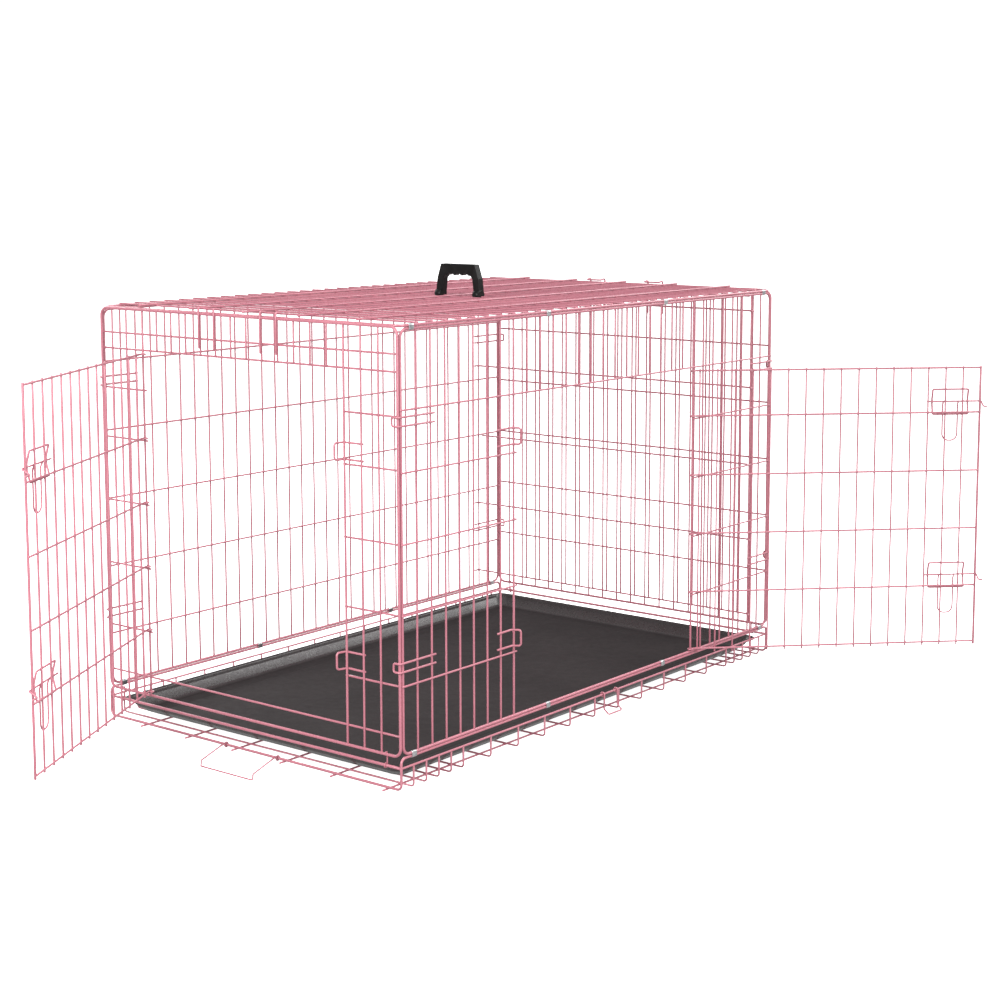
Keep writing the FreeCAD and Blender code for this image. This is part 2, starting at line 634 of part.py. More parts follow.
latch_eye = size("rim_wire") + 0.45 + LEVEL
rim_z, hang_x = size("lip_high"), SIDE + latch_eye
legs_y = (-14.0, 30.0)
latch_path = [V(hang_x, legs_y[0], rim_z), V(hang_x, legs_y[0], 15.0), V(hang_x + 11.0, legs_y[0], 6.0),
              V(hang_x + 11.0, legs_y[1], 6.0), V(hang_x, legs_y[1], 15.0), V(hang_x, legs_y[1], rim_z)]
latch_eyes = [(V(SIDE, y, rim_z), V(hang_x, y, rim_z)) for y in legs_y]
node("fold_latch", [shaped("FoldLatch", [
    hinge_bail(latch_eyes[0], latch_eyes[1], latch_path, V(0, -1, 0), latch_eye, LEVEL, 3.0)])])


# ---------------------------------------------------------------- carry handle
def handle_solid():
    """A trapezoid grip with finger scallops, on two open clips that hold one cross wire of the top."""
    top, half_top, half_foot = size("grip_high"), size("grip_half_top"), size("grip_half_foot")
    thick, deep, leg, clip_r = size("grip_thick"), size("grip_deep"), size("grip_leg"), size("grip_clip")
    wire_z = roof + FRAME + size("upright_wire") - SINK
    foot = wire_z + 2.5
    under = top - deep
    inner = half_foot - leg
    right = [V(half_top, 0, top), V(half_foot - 3.5, 0, under - 6), V(half_foot, 0, foot),
             V(inner, 0, foot), V(inner - 4, 0, under - 6), V(inner - 9, 0, under)]
    left = [V(-p.x, 0, p.z) for p in reversed(right)]
    outer = right + left
    face = Part.Face(Part.makePolygon(outer + [outer[0]]))
    body = face.extrude(V(0, thick, 0)).translated(V(0, -thick / 2, 0))
    for x in (-19.0, 0.0, 19.0):
        scoop = Part.makeCylinder(12.0, thick + 2, V(x, -thick / 2 - 1, under - 8.0), Y_AXIS)
        body = body.cut(scoop)
    for x in (-half_foot, inner):
        ring = Part.makeCylinder(clip_r, leg, V(x, 0, wire_z + 4.0), X_AXIS)
        body = body.fuse(ring.common(Part.makeBox(leg, 40, 40, V(x, -20, wire_z - 3.4))))
    groove = Part.makeCylinder(size("grip_hole"), 4 * half_foot, V(-2 * half_foot, 0, wire_z), X_AXIS)
    mouth = Part.makeBox(4 * half_foot, thick, 2.2, V(-2 * half_foot, 0, wire_z - 1.1))
    body = body.cut(groove).cut(mouth).removeSplitter().Solids[0]
    return body.translated(V(size("grip_off"), size("roof_first") + 15 * size("roof_pitch"), 0))


node("carry_handle", [shaped("Handle", [handle_solid()])])

# ---------------------------------------------------------------- divider
place_y = size("divider_place")
uprights = [
    rod(Z_AXIS, "upright_wire",
        ("%d * divider_pitch" % i, "divider_place - level_wire - upright_wire + weld_sink", "divider_low"),
        "divider_high - divider_low") for i in range(-9, 10)]
node("divider_uprights", uprights)
node("divider_plain_levels", [
    rod(X_AXIS, "level_wire", ("0 - divider_half", "divider_place", z), "2 * divider_half")
    for z in ("divider_high", "429")])
hooked = []
for z in (size("divider_low"), 266.0, 595.0, 759.0):
    out_x = SIDE + size("upright_wire") + LEVEL + 1.2
    spots = [(-out_x, place_y - 13), (-out_x, place_y), (out_x, place_y), (out_x, place_y - 13)]
    hooked += wire_solids([V(x, y, z) for x, y in spots], 3.5, LEVEL)
node("divider_hooked_levels", [shaped("HookedLevels", hooked)])

# ---------------------------------------------------------------- check and export
doc.recompute()
bad = []
for item in doc.Objects:
    if "Invalid" in item.State or "Error" in item.State:
        bad.append(item.Name + " " + str(item.State))
for item in MADE + NODES:
    shape = item.Shape
    if shape.isNull() or not shape.isValid():
        bad.append(item.Name + " shape")
if bad:
    raise RuntimeError("bad objects: " + ", ".join(bad))
for item in NODES:
    print(item.Label, len(item.Shape.Solids), [round(v, 1) for v in (
        item.Shape.BoundBox.XMin, item.Shape.BoundBox.YMin, item.Shape.BoundBox.ZMin,
        item.Shape.BoundBox.XMax, item.Shape.BoundBox.YMax, item.Shape.BoundBox.ZMax)])
    item.Shape.exportStep("parts/" + item.Label + ".step")
print("nodes", len(NODES))
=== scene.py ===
import json
import math

import bpy
import numpy as np
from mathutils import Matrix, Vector


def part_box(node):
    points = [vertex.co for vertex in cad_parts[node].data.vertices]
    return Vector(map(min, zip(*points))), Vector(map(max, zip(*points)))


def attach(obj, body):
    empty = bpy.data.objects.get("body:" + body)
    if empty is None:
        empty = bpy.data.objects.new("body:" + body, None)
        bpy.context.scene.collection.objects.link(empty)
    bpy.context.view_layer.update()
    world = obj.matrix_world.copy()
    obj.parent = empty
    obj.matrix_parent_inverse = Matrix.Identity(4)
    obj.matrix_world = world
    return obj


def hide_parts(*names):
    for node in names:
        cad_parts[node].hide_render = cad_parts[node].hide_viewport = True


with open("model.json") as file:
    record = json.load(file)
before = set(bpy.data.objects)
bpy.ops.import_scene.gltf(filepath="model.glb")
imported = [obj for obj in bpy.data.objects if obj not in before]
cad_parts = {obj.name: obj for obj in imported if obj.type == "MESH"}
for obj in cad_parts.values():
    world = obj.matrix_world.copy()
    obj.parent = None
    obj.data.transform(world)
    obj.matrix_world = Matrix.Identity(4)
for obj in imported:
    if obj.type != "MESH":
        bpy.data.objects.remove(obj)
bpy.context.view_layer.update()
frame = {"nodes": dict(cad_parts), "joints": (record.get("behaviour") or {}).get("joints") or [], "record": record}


rng = np.random.default_rng(7)
MM = 0.001
BODY_OF = {n: b for b, members in frame["record"]["behaviour"]["bodies"].items() for n in members}
JOINT = {j["name"]: j for j in frame["joints"]}

# Wire radii and the planes the wires lie in, in metres
R_FRAME, R_HINGE, R_LEVEL, R_UPRIGHT = 2.25 * MM, 2.0 * MM, 1.6 * MM, 1.5 * MM
R_FLOOR, R_RIM, R_BOLT, R_PIVOT, R_STOP = 1.75 * MM, 1.9 * MM, 1.75 * MM, 1.25 * MM, 1.4 * MM

# Thickness of the powder coat over the bare wire
COAT = 0.32 * MM
CLOSE_COAT = 0.16 * MM    # where wires of two bodies pass close to each other
EYE_COAT = 0.05 * MM      # on a wire that an eye turns on
EDGE_COAT = 0.45 * MM     # on the doors' edge wires and the end door's uprights
LEVEL_COAT = 0.40 * MM    # on the doors' levels, clear of the hinge

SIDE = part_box("right_side_frame")[1].x - R_FRAME
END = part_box("rear_end_frame")[1].y - R_FRAME
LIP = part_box("lip_bars")[1].z - R_FRAME
PANEL_BEND = 15 * MM
PAN_STOP_EYE = R_FRAME + 0.35 * MM + R_STOP      # mean radius of an eye, with its play
FOLD_LATCH_EYE = R_RIM + 0.45 * MM + R_LEVEL
PIVOT_EYE = 3.75 * MM
DOOR_EYE = 4.2 * MM
BOLT_OFF = 11.0 * MM      # from the hinge's plane out to the bolts' rods
BOLT_RISE = 22 * MM       # from a door's level up to the bolt over it


# ---------------------------------------------------------------- tubes
def vec(*p):
    return np.array(p, float)


def unit(v):
    return v / np.linalg.norm(v)


def rounded_path(points, bend, closed=False, steps=8):
    """Points along a wire whose corners are bent to the given radius."""
    pts = [np.asarray(p, float) for p in points]
    n = len(pts)
    out = []
    for i in range(n):
        if not closed and i in (0, n - 1):
            out.append(pts[i])
            continue
        before, after = unit(pts[i - 1] - pts[i]), unit(pts[(i + 1) % n] - pts[i])
        angle = math.acos(max(-1.0, min(1.0, float(before @ after))))
        trim = bend / math.tan(angle / 2)
        centre = pts[i] + unit(before + after) * (bend / math.sin(angle / 2))
        first = pts[i] + before * trim - centre
        last = pts[i] + after * trim - centre
        sweep = math.pi - angle
        for k in range(steps + 1):
            t = k / steps
            spoke = math.sin((1 - t) * sweep) * first + math.sin(t * sweep) * last
            out.append(centre + spoke / math.sin(sweep))
    return out


def arc_path(centre, start, spin, degrees, steps=22):
    """Points on an arc that starts at start and turns about spin through centre."""
    centre, spin = np.asarray(centre, float), unit(np.asarray(spin, float))
    spoke = np.asarray(start, float) - centre
    out = []
    for k in range(steps + 1):
        a = math.radians(degrees) * k / steps
        out.append(centre + spoke * math.cos(a) + np.cross(spin, spoke) * math.sin(a))
    return out


def tube(path, radius, sides=12, closed=False):
    """Vertices and faces of a round wire along a path, its ends slightly rounded."""
    pts = np.array(path, float)
    keep = [0]
    for i in range(1, len(pts)):
        if np.linalg.norm(pts[i] - pts[keep[-1]]) > 1e-6:
            keep.append(i)
    pts = pts[keep]
    if closed and np.linalg.norm(pts[0] - pts[-1]) < 1e-6:
        pts = pts[:-1]
    n = len(pts)
    if closed:
        tangents = np.roll(pts, -1, 0) - np.roll(pts, 1, 0)
    else:
        tangents = np.gradient(pts, axis=0)
    tangents /= np.linalg.norm(tangents, axis=1)[:, None]
    side = np.cross(tangents[0], (0.0, 0.0, 1.0))
    if np.linalg.norm(side) < 0.1:
        side = np.cross(tangents[0], (0.0, 1.0, 0.0))
    side = unit(side)
    sides_of = []
    for t in tangents:
        side = unit(side - t * (side @ t))
        sides_of.append(side)
    centres, radii, spans = list(pts), [radius] * n, list(sides_of)
    heads = list(tangents)
    if closed:
        # spread the frame's leftover twist along the loop
        last = unit(sides_of[-1] - tangents[0] * (sides_of[-1] @ tangents[0]))
        twist = math.atan2(float(np.cross(sides_of[0], last) @ tangents[0]), float(sides_of[0] @ last))
        for i in range(n):
            a = -twist * i / n
            spans[i] = sides_of[i] * math.cos(a) + np.cross(tangents[i], sides_of[i]) * math.sin(a)
    else:
        inset = 0.45 * radius
        for place, order in ((0, 1), (-1, -1)):
            end, head, span = centres[place], heads[place], spans[place]
            rings = [(end, 0.5), (end + head * order * inset * 0.3, 0.84),
                     (end + head * order * inset, 1.0)]
            if order < 0:
                rings.reverse()
            extra = [(c, radius * s, head, span) for c, s in rings]
            if place == 0:
                centres = [e[0] for e in extra] + centres[1:]
                radii = [e[1] for e in extra] + radii[1:]
                heads = [e[2] for e in extra] + heads[1:]
                spans = [e[3] for e in extra] + spans[1:]
            else:
                centres = centres[:-1] + [e[0] for e in extra]
                radii = radii[:-1] + [e[1] for e in extra]
                heads = heads[:-1] + [e[2] for e in extra]
                spans = spans[:-1] + [e[3] for e in extra]
    turns = np.linspace(0, 2 * math.pi, sides, endpoint=False)
    verts = []
    for c, r, h, s in zip(centres, radii, heads, spans):
        other = np.cross(h, s)
        verts.append(c + r * (np.cos(turns)[:, None] * s + np.sin(turns)[:, None] * other))
    verts = np.concatenate(verts)
    count = len(centres)
    faces = []
    for i in range(count if closed else count - 1):
        j = (i + 1) % count
        for k in range(sides):
            m = (k + 1) % sides
            faces.append((i * sides + k, i * sides + m, j * sides + m, j * sides + k))
    if not closed:
        faces.append(tuple(range(sides - 1, -1, -1)))
        faces.append(tuple((count - 1) * sides + k for k in range(sides)))
    return verts, faces


def bead(centre, normal, flat, thick):
    """A small weld nugget: a squashed ball."""
    normal = unit(normal)
    one = unit(np.cross(normal, (0.3, 0.5, 0.81)))
    two = np.cross(normal, one)
    rings, around = 4, 8
    verts = [centre - normal * thick]
    for i in range(1, rings):
        a = math.pi * i / rings
        for k in range(around):
            b = 2 * math.pi * k / around
            verts.append(centre - normal * thick * math.cos(a)
                         + flat * math.sin(a) * (one * math.cos(b) + two * math.sin(b)))
    verts.append(centre + normal * thick)
    faces = [(0, 1 + (k + 1) % around, 1 + k) for k in range(around)]
    for i in range(rings - 2):
        for k in range(around):
            a, b = 1 + i * around + k, 1 + i * around + (k + 1) % around
            faces.append((a, b, b + around, a + around))
    top = len(verts) - 1
    base = 1 + (rings - 2) * around
    faces += [(top, base + k, base + (k + 1) % around) for k in range(around)]
    return np.array(verts), faces


def build(name, parts, material, body, node=None):
    """One smooth mesh object from many vertex and face lists, riding on a body."""
    verts, faces, base = [], [], 0
    for v, f in parts:
        verts.append(np.asarray(v))
        faces += [tuple(i + base for i in face) for face in f]
        base += len(v)
    mesh = bpy.data.meshes.new(name)
    mesh.from_pydata(np.concatenate(verts).tolist(), [], faces)
    mesh.polygons.foreach_set("use_smooth", [len(f) < 9 for f in faces])
    mesh.materials.append(material)
    mesh.update()
    piece = bpy.data.objects.new(name, mesh)
    bpy.context.scene.collection.objects.link(piece)
    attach(piece, body)
    if node:
        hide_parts(node)
    return piece


# ---------------------------------------------------------------- reading the CAD wires
def islands(node):
    """The separate solids of a CAD node, each as an array of points."""
    mesh = frame["nodes"][node].data
    n = len(mesh.vertices)
    co = np.zeros(n * 3, np.float32)
    mesh.vertices.foreach_get("co", co)
    co = co.reshape(-1, 3).astype(float)
    keys = np.round(co, 6)
    _, same = np.unique(keys, axis=0, return_inverse=True)
    same = same.reshape(-1)
    edges = np.zeros(len(mesh.edges) * 2, np.int32)
    mesh.edges.foreach_get("vertices", edges)
    edges = same[edges.reshape(-1, 2)]
    label = np.arange(same.max() + 1)
    while True:
        low = np.minimum(label[edges[:, 0]], label[edges[:, 1]])
        new = label.copy()
        np.minimum.at(new, edges[:, 0], low)
        np.minimum.at(new, edges[:, 1], low)
        new = new[new]
        if (new == label).all():
            break
        label = new
    vertex_label = label[same]
    return [co[vertex_label == one] for one in np.unique(vertex_label)]


def straight(points):
    """Ends and radius of a straight wire's solid, or None for a bent one."""
    middle = points.mean(0)
    _, _, axes = np.linalg.svd(points - middle, full_matrices=False)
    along = (points - middle) @ axes[0]
    off = np.linalg.norm(points - middle - along[:, None] * axes[0], axis=1)
    if off.max() - off.min() > 0.12 * MM or np.ptp(along) < 2.2 * off.max():
        return None
    return (middle + axes[0] * along.min(), middle + axes[0] * along.max(), float(off.max()))


def straight_wires(node):
    return [w for w in (straight(p) for p in islands(node)) if w is not None]


def wavy(a, b, size=0.18 * MM):
    """A straight wire's path with the slight waviness of drawn wire."""
    length = np.linalg.norm(b - a)
    count = max(2, int(length / 0.06))
    head = unit(b - a)
    one = unit(np.cross(head, (0.31, 0.55, 0.77)))
    two = np.cross(head, one)
    phase = rng.uniform(0, 2 * math.pi, 2)
    waves = rng.uniform(1.2, 2.6, 2)
    out = []
    for k in range(count + 1):
        t = k / count
        fade = math.sin(math.pi * t)
        lift = (one * math.sin(phase[0] + waves[0] * math.pi * t)
                + two * math.sin(phase[1] + waves[1] * math.pi * t))
        out.append(a + (b - a) * t + lift * size * fade)
    return out


def corner(run, pair):
    """The point where a run's line, drawn on past its tip, comes level with the next run's start."""
    along = unit(run[1] - run[0])
    return pair[0] + along * float((pair[1] - pair[0]) @ along)


def chains(node, bend):
    """The long bent wires of a node: its straight runs joined end to end at right-angled corners."""
    wires = straight_wires(node)
    left = list(range(len(wires)))
    reach = bend * 1.5 + 0.3 * MM
    found = []
    while left:
        chain = [(left[0], 0, 1)]
        left.pop(0)
        for grow_end in (True, False):
            while True:
                index, head, tail = chain[-1] if grow_end else chain[0]
                tip = wires[index][tail if grow_end else head]
                best = None
                for other in left:
                    for near in (0, 1):
                        gap = np.linalg.norm(wires[other][near] - tip)
                        if gap < reach and (best is None or gap < best[0]):
                            best = (gap, other, near)
                if best is None:
                    break
                left.remove(best[1])
                if grow_end:
                    chain.append((best[1], best[2], 1 - best[2]))
                else:
                    chain.insert(0, (best[1], 1 - best[2], best[2]))
        ends = [(wires[i][h], wires[i][t]) for i, h, t in chain]
        corners = []
        for (_, tip), (start, _) in zip(ends, ends[1:]):
            corners.append((tip, start))
        closed = len(ends) > 2 and np.linalg.norm(ends[-1][1] - ends[0][0]) < reach
        points = [] if closed else [ends[0][0]]
        for i, pair in enumerate(corners):
            points.append(corner(ends[i], pair))
        if closed:
            points.append(corner(ends[-1], (ends[-1][1], ends[0][0])))
        else:
            points.append(ends[-1][1])
        found.append((points, closed, wires[chain[0][0]][2]))
    return found


def crossings(ones, twos):
    """Weld nuggets where the wires of two sets touch."""
    out = []
    for a, b, r in ones:
        d1, l1 = unit(b - a), np.linalg.norm(b - a)
        for c, d, q in twos:
            d2, l2 = unit(d - c), np.linalg.norm(d - c)
            w = a - c
            k = float(d1 @ d2)
            if abs(k) > 0.95:
                continue
            e1, e2 = float(d1 @ w), float(d2 @ w)
            s = (k * e2 - e1) / (1 - k * k)
            t = (e2 - k * e1) / (1 - k * k)
            if not (-0.003 < s < l1 + 0.003 and -0.003 < t < l2 + 0.003):
                continue
            s, t = min(max(s, 0), l1), min(max(t, 0), l2)
            p, o = a + d1 * s, c + d2 * t
            gap = np.linalg.norm(p - o)
            if gap > r + q + 0.15 * MM:
                continue
            normal = (o - p) if gap > 0.3 * MM else np.cross(d1, d2)
            seat = p + (o - p) * (r / (r + q)) if gap > 0.3 * MM else p
            small = min(r, q)
            out.append(bead(seat, normal, small * 1.35, small * 0.72))
    return out


# ---------------------------------------------------------------- materials
def new_material(name, colour, rough, metallic=0.0, coat=0.0):
    material = bpy.data.materials.new(name)
    material.use_nodes = True
    shader = material.node_tree.nodes["Principled BSDF"]
    shader.inputs["Base Color"].default_value = (*colour, 1)
    shader.inputs["Roughness"].default_value = rough
    shader.inputs["Metallic"].default_value = metallic
    shader.inputs["Coat Weight"].default_value = coat
    shader.inputs["Coat Roughness"].default_value = 0.12
    return material, material.node_tree, shader


def add(tree, kind, **values):
    made = tree.nodes.new(kind)
    for key, value in values.items():
        if key in made.inputs:
            made.inputs[key].default_value = value
        else:
            setattr(made, key, value)
    return made


def noise(tree, scale, detail=3.0, roughness=0.5):
    where = add(tree, "ShaderNodeTexCoord")
    made = add(tree, "ShaderNodeTexNoise")
    made.inputs["Scale"].default_value = scale
    made.inputs["Detail"].default_value = detail
    made.inputs["Roughness"].default_value = roughness
    tree.links.new(where.outputs["Object"], made.inputs["Vector"])
    return made


def ramp(tree, source, stops):
    made = add(tree, "ShaderNodeValToRGB")
    line = made.color_ramp.elements
    line[0].position, line[0].color = stops[0][0], (*stops[0][1], 1)
    line[1].position, line[1].color = stops[-1][0], (*stops[-1][1], 1)
    for place, colour in stops[1:-1]:
        spot = line.new(place)
        spot.color = (*colour, 1)
    tree.links.new(source, made.inputs["Fac"])
    return made


def to_range(tree, source, low, high, start=0.0, stop=1.0):
    made = add(tree, "ShaderNodeMapRange")
    made.inputs["From Min"].default_value = start
    made.inputs["From Max"].default_value = stop
    made.inputs["To Min"].default_value = low
    made.inputs["To Max"].default_value = high
    tree.links.new(source, made.inputs["Value"])
    return made


def bump(tree, shader, height, strength, distance):
    made = add(tree, "ShaderNodeBump")
    made.inputs["Strength"].default_value = strength
    made.inputs["Distance"].default_value = distance
    tree.links.new(height, made.inputs["Height"])
    tree.links.new(made.outputs["Normal"], shader.inputs["Normal"])


def powder_coat():
    """Pink powder coat: a fine orange-peel skin with small shade and gloss changes."""
    material, tree, shader = new_material("pink_powder_coat", (0.44, 0.155, 0.195), 0.32, coat=0.15)
    shader.inputs["Specular IOR Level"].default_value = 0.5
    broad = noise(tree, 7.0, 2.0)
    fine = noise(tree, 900.0, 2.0, 0.6)
    speck = noise(tree, 240.0, 3.0, 0.7)
    tint = ramp(tree, broad.outputs["Fac"], [(0.3, (0.41, 0.14, 0.18)), (0.7, (0.46, 0.165, 0.205))])
    mix = add(tree, "ShaderNodeMix", data_type="RGBA")
    mix.inputs["B"].default_value = (0.34, 0.105, 0.14, 1)
    spots = to_range(tree, speck.outputs["Fac"], 0.0, 0.4, 0.6, 0.78)
    tree.links.new(spots.outputs["Result"], mix.inputs["Factor"])
    tree.links.new(tint.outputs["Color"], mix.inputs["A"])
    tree.links.new(mix.outputs["Result"], shader.inputs["Base Color"])
    rough = to_range(tree, speck.outputs["Fac"], 0.22, 0.38, 0.3, 0.7)
    tree.links.new(rough.outputs["Result"], shader.inputs["Roughness"])
    bump(tree, shader, fine.outputs["Fac"], 0.25, 0.00006)
    return material


def clip_steel():
    """Galvanised sheet: a clouded spangle and a fine rolled grain."""
    material, tree, shader = new_material("clip_steel", (0.74, 0.75, 0.77), 0.28, metallic=1.0)
    grain = noise(tree, 700.0, 2.0)
    cloud = noise(tree, 120.0, 3.0)
    tint = ramp(tree, cloud.outputs["Fac"], [(0.35, (0.50, 0.51, 0.53)), (0.65, (0.78, 0.79, 0.80))])
    tree.links.new(tint.outputs["Color"], shader.inputs["Base Color"])
    rough = to_range(tree, grain.outputs["Fac"], 0.2, 0.42, 0.3, 0.7)
    tree.links.new(rough.outputs["Result"], shader.inputs["Roughness"])
    bump(tree, shader, grain.outputs["Fac"], 0.3, 0.00005)
    return material


def pan_plastic():
    """Moulded plastic: a pebbled, dull floor between smooth, shinier walls."""
    material, tree, shader = new_material("pan_black_plastic", (0.05, 0.045, 0.046), 0.34)
    where = add(tree, "ShaderNodeTexCoord")
    parts = add(tree, "ShaderNodeSeparateXYZ")
    tree.links.new(where.outputs["Normal"], parts.inputs["Vector"])
    flat = to_range(tree, parts.outputs["Z"], 0.0, 1.0, 0.93, 0.99)
    pebble = add(tree, "ShaderNodeTexVoronoi")
    pebble.inputs["Scale"].default_value = 380.0
    tree.links.new(where.outputs["Object"], pebble.inputs["Vector"])
    cloud = noise(tree, 5.0, 4.0)
    scuff = noise(tree, 45.0, 5.0, 0.7)
    tint = ramp(tree, cloud.outputs["Fac"], [(0.3, (0.020, 0.017, 0.0175)), (0.7, (0.027, 0.023, 0.0235))])
    tree.links.new(tint.outputs["Color"], shader.inputs["Base Color"])
    dull = to_range(tree, flat.outputs["Result"], 0.0, 0.3)
    streak = to_range(tree, scuff.outputs["Fac"], 0.22, 0.34, 0.3, 0.7)
    total = add(tree, "ShaderNodeMath", operation="ADD")
    tree.links.new(streak.outputs["Result"], total.inputs[0])
    tree.links.new(dull.outputs["Result"], total.inputs[1])
    tree.links.new(total.outputs["Value"], shader.inputs["Roughness"])
    shine = to_range(tree, flat.outputs["Result"], 0.62, 0.07)
    tree.links.new(shine.outputs["Result"], shader.inputs["Specular IOR Level"])
    height = add(tree, "ShaderNodeMath", operation="MULTIPLY")
    tree.links.new(pebble.outputs["Distance"], height.inputs[0])
    tree.links.new(flat.outputs["Result"], height.inputs[1])
    bump(tree, shader, height.outputs["Value"], 0.35, 0.0002)
    return material


def handle_plastic():
    """Black moulded plastic with a fine spark-eroded grain."""
    material, tree, shader = new_material("handle_black_plastic", (0.006, 0.006, 0.006), 0.36)
    shader.inputs["Specular IOR Level"].default_value = 0.2
    grain = noise(tree, 1400.0, 2.0)
    cloud = noise(tree, 60.0, 3.0)
    tint = ramp(tree, cloud.outputs["Fac"], [(0.3, (0.004, 0.004, 0.004)), (0.7, (0.008, 0.008, 0.008))])
    tree.links.new(tint.outputs["Color"], shader.inputs["Base Color"])
    rough = to_range(tree, cloud.outputs["Fac"], 0.3, 0.45, 0.3, 0.7)
    tree.links.new(rough.outputs["Result"], shader.inputs["Roughness"])
    bump(tree, shader, grain.outputs["Fac"], 0.3, 0.00008)
    return material


PINK, STEEL, PAN, GRIP = powder_coat(), clip_steel(), pan_plastic(), handle_plastic()


def wires(node, parts):
    return build(node + "_coated", parts, PINK, BODY_OF[node], node)


def coat_on(node, radius):
    """The coat on a straight wire; the floor's wires have none."""
    if node.startswith("floor_"):
        return 0.0
    if node in ("side_door_uprights", "right_side_levels"):
        return CLOSE_COAT
    if node in ("side_door_edge_wire", "end_door_edge_wire", "end_door_uprights"):
        return EDGE_COAT
    holds_hinge = node in ("front_end_uprights", "right_side_uprights")
    return EYE_COAT if holds_hinge and radius > R_HINGE - 0.1 * MM else COAT


# ---------------------------------------------------------------- straight wires and long bent wires
STRAIGHT_NODES = [
    "lip_bars", "floor_rim_wires", "floor_cross_wires", "floor_long_wires",
    "right_side_uprights", "right_side_header_uprights", "right_side_levels",
    "left_side_uprights", "left_side_levels",
    "front_end_uprights", "front_end_header_uprights", "front_end_levels",
    "rear_end_uprights", "rear_end_levels", "top_cross_wires", "top_long_wires",
    "divider_uprights", "divider_plain_levels",
    "side_door_uprights", "side_door_edge_wire", "end_door_uprights", "end_door_edge_wire",
]
LINES = {}
for node in STRAIGHT_NODES:
    LINES[node] = straight_wires(node)
    wires(node, [tube(wavy(a, b), r + coat_on(node, r), 12 if r < R_HINGE else 16)
                 for a, b, r in LINES[node]])

CHAIN_NODES = {
    "floor_frame": 10 * MM, "right_side_frame": PANEL_BEND, "left_side_frame": PANEL_BEND,
    "front_end_frame": PANEL_BEND, "rear_end_frame": PANEL_BEND, "top_frame": PANEL_BEND,
    "side_door_keepers": 5 * MM, "end_door_keepers": 5 * MM, "divider_hooked_levels": 3.5 * MM,
}
for node, bend in CHAIN_NODES.items():
    parts, lines = [], []
    for points, closed, r in chains(node, bend):
        path = rounded_path(points, bend, closed, 10)
        coat = EYE_COAT if node == "floor_frame" else COAT
        parts.append(tube(path, r + coat, 16 if r > R_HINGE else 12, closed))
        count = len(points)
        for i in range(count if closed else count - 1):
            lines.append((points[i], points[(i + 1) % count], r))
    LINES[node] = lines
    wires(node, parts)

# ---------------------------------------------------------------- short bent wires of the crate
UPTURN_ROOT = 0.3683    # where a cross wire's straight run ends and its upturn begins
cross_z = float(np.mean([a[2] for a, b, r in LINES["floor_cross_wires"]]))
upturns = []
for solid in islands("floor_wire_upturns"):
    y = float((solid[:, 1].min() + solid[:, 1].max()) / 2)
    s = 1.0 if solid[:, 0].mean() > 0 else -1.0
    points = [vec(s * UPTURN_ROOT, y, cross_z), vec(s * SIDE, y, cross_z), vec(s * SIDE, y, LIP - 1.2 * MM)]
    upturns.append(tube(rounded_path(points, 6 * MM, steps=8), R_FLOOR, 12))
wires("floor_wire_upturns", upturns)

for node in ("front_top_hooks", "rear_top_hooks"):
    parts = []
    for solid in islands(node):
        one, two = solid[:, 0].min() + R_LEVEL, solid[:, 0].max() - R_LEVEL
        s = 1.0 if solid[:, 1].mean() > 0 else -1.0
        out, back = np.abs(solid[:, 1]).max() - R_LEVEL, np.abs(solid[:, 1]).min() + R_LEVEL
        over, bottom = solid[:, 2].max() - R_LEVEL, solid[:, 2].min()
        spots = [(one, out, bottom), (one, out, over), (one, back, over - 3 * MM),
                 (two, back, over - 3 * MM), (two, out, over), (two, out, bottom)]
        points = [vec(x, s * y, z) for x, y, z in spots]
        parts.append(tube(rounded_path(points, 4 * MM), R_LEVEL + COAT, 12))
    wires(node, parts)

for node in ("right_lock_hooks", "left_lock_hooks"):
    parts = []
    for solid in islands(node):
        sx = 1.0 if solid[:, 0].mean() > 0 else -1.0
        sy = 1.0 if solid[:, 1].mean() > 0 else -1.0
        low = solid[:, 2].min() + R_LEVEL
        high = solid[:, 2].max() - R_LEVEL
        face, curl = np.abs(solid[:, 0]).max() - R_LEVEL, np.abs(solid[:, 0]).min() + R_LEVEL
        reach, tail = np.abs(solid[:, 1]).max() - R_LEVEL, np.abs(solid[:, 1]).min()
        spots = [(face, tail, low), (face, reach, low), (curl, reach, low),
                 (curl, reach, high), (face, reach, high), (face, tail, high)]
        points = [vec(sx * x, sy * y, z) for x, y, z in spots]
        parts.append(tube(rounded_path(points, 4 * MM), R_LEVEL + COAT, 12))
    wires(node, parts)

parts = []
for solid in islands("end_panel_pivots"):
    x = float((solid[:, 0].min() + solid[:, 0].max()) / 2)
    s = 1.0 if solid[:, 1].mean() > 0 else -1.0
    centre = vec(x, s * END, LIP)
    start = centre + vec(0, -s * PIVOT_EYE, 0)
    top = solid[:, 2].max() - R_PIVOT
    loop = arc_path(centre, start, (s, 0, 0), 300.0)
    stem = rounded_path([start, vec(x, start[1], top), vec(x, s * (END + MM), top)], 2 * MM)
    parts.append(tube(loop[::-1] + stem[1:], R_PIVOT, 12))
wires("end_panel_pivots", parts)


def bail(node, eyes, points, spin, bend, radius):
    """A bent bail whose ends curl round a straight wire."""
    first = arc_path(eyes[0][0], eyes[0][1], spin, 285.0)
    last = arc_path(eyes[1][0], eyes[1][1], spin, 285.0)
    path = first[::-1] + rounded_path(points, bend, steps=6)[1:] + last[1:]
    wires(node, [tube(path, radius, 12)])


